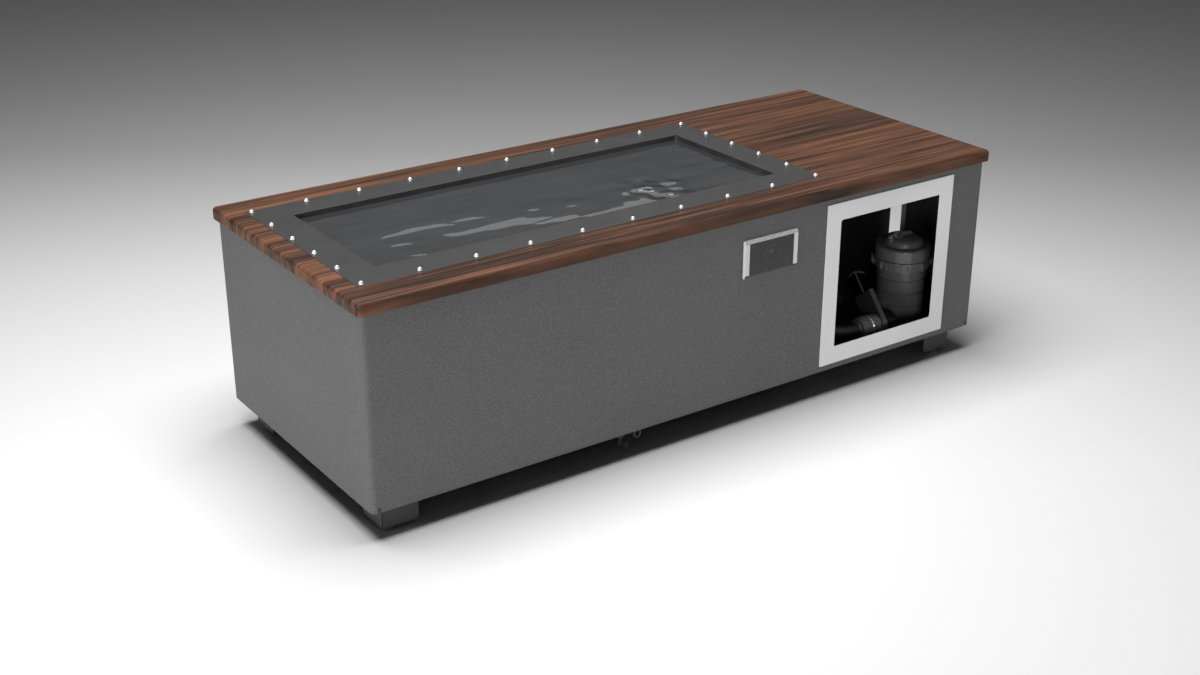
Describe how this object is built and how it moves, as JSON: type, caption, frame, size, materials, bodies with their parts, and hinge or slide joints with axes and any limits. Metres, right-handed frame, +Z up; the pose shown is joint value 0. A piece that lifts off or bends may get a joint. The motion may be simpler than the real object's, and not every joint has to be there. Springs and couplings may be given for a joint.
{
  "type": "cold plunge tub",
  "caption": "Free-standing cold plunge tub: wood deck, studded rim, lined basin, folded steel skirt on short legs, control panel, and a service hatch onto its filter and valve.",
  "frame": {"origin": "on the floor under the middle of the deck's outline", "axes": "+X along the length towards the equipment bay, +Z up, -Y towards the front with the panel and the service hatch"},
  "size_m": [2.34, 0.944, 0.7333],
  "materials": {
    "walnut": "oiled dark hardwood, grain along the length, satin",
    "powder_coat": "fine-textured dark grey powder coat, matte",
    "gloss_rim": "dark grey gloss plate with polished dome nuts",
    "basin_black": "black moulded liner, semi-gloss",
    "foam": "sprayed insulating foam, matte",
    "white_frame": "white painted sheet, satin",
    "silver": "satin anodised",
    "dark_glass": "dark glossy face with faint printed marks",
    "leg_paint": "dark grey paint, matte",
    "rubber": "black rubber, matte",
    "frame_steel": "black painted square tube and sheet",
    "board": "black structural board, matte",
    "filter_plastic": "dark grey moulded plastic, soft sheen",
    "filter_media": "white pleated filter media",
    "pvc": "dark grey moulded pipe fittings",
    "stainless": "plain stainless steel",
    "chiller_paint": "black painted sheet, matte",
    "coil_metal": "finned condenser block",
    "motor_paint": "black motor paint, satin"
  },
  "bodies": {
    "tub": {"wood_deck": "walnut", "rim_plate": "gloss_rim", "tub_liner": "basin_black", "insulation_jacket": "foam", "skirt_front": "powder_coat", "skirt_rear": "powder_coat", "front_hatch_frame": "white_frame", "end_hatch_frame": "white_frame", "panel_housing": "silver", "panel_glass": "dark_glass", "panel_back_box": "pvc", "leg_front_left": "leg_paint", "foot_front_left": "rubber", "leg_front_right": "leg_paint", "foot_front_right": "rubber", "leg_rear_left": "leg_paint", "foot_rear_left": "rubber", "leg_rear_right": "leg_paint", "foot_rear_right": "rubber", "base_rail_front": "frame_steel", "base_rail_rear": "frame_steel", "base_cross_1": "frame_steel", "base_cross_2": "frame_steel", "base_cross_3": "frame_steel", "base_cross_4": "frame_steel", "equipment_tray": "frame_steel", "bulkhead": "board", "suction_fitting": "pvc", "suction_hose": "rubber", "return_jet_body": "pvc", "return_pipe": "pvc", "drain_pipe": "pvc", "drain_valve_body": "pvc", "drain_outlet": "pvc", "filter_body": "filter_plastic", "filter_seal": "rubber", "filter_cartridge": "filter_media", "gate_valve_body": "pvc", "union_nut_suction": "pvc", "union_tail_suction": "pvc", "union_nut_filter": "pvc", "filter_inlet_pipe": "pvc", "pump_volute": "pvc", "pump_motor": "motor_paint", "pump_inlet_pipe": "pvc", "chiller_inlet_pipe": "pvc", "chiller_cover": "chiller_paint", "chiller_base": "chiller_paint", "chiller_fan_motor": "motor_paint", "condenser_coil": "coil_metal", "compressor": "motor_paint", "heat_exchanger": "pvc"},
    "gate": {"gate_valve_gate": "stainless", "gate_valve_handle": "stainless"},
    "filter_lid": {"filter_lid": "filter_plastic"},
    "filter_lock_ring": {"filter_lock_ring": "filter_plastic"},
    "filter_air_bleed": {"filter_air_bleed": "filter_plastic"},
    "drain_lever": {"drain_lever": "rubber"},
    "jet_eyeball": {"return_jet_eyeball": "pvc"},
    "chiller_fan": {"chiller_fan": "filter_plastic"}
  },
  "joints": [
    {"name": "gate_slide", "type": "slide", "parent": "tub", "child": "gate", "axis": [0, 0.6428, 0.766], "range_m": [-0.062, 0]},
    {"name": "filter_lid_lift", "type": "slide", "parent": "tub", "child": "filter_lid", "axis": [0, 0, 1], "range_m": [0, 0.15]},
    {"name": "filter_lock_ring_turn", "type": "hinge", "parent": "filter_lid", "child": "filter_lock_ring", "pos_m": [1.012, -0.26, 0.305], "axis": [0, 0, 1], "range_deg": [0, 90]},
    {"name": "filter_air_bleed_turn", "type": "hinge", "parent": "filter_lid", "child": "filter_air_bleed", "pos_m": [0.954, -0.26, 0.4], "axis": [0, 0, 1], "range_deg": [0, 180]},
    {"name": "drain_lever_turn", "type": "hinge", "parent": "tub", "child": "drain_lever", "pos_m": [-0.29, -0.408, 0.046], "axis": [0, 0, 1], "range_deg": [0, 90]},
    {"name": "jet_eyeball_swivel", "type": "hinge", "parent": "tub", "child": "jet_eyeball", "pos_m": [0.4127, -0.145, 0.5998], "axis": [0, 0, 1], "range_deg": [-15, 15]},
    {"name": "chiller_fan_spin", "type": "hinge", "parent": "tub", "child": "chiller_fan", "pos_m": [1.1, 0.119, 0.3366], "axis": [1, 0, 0], "continuous": true}
  ]
}
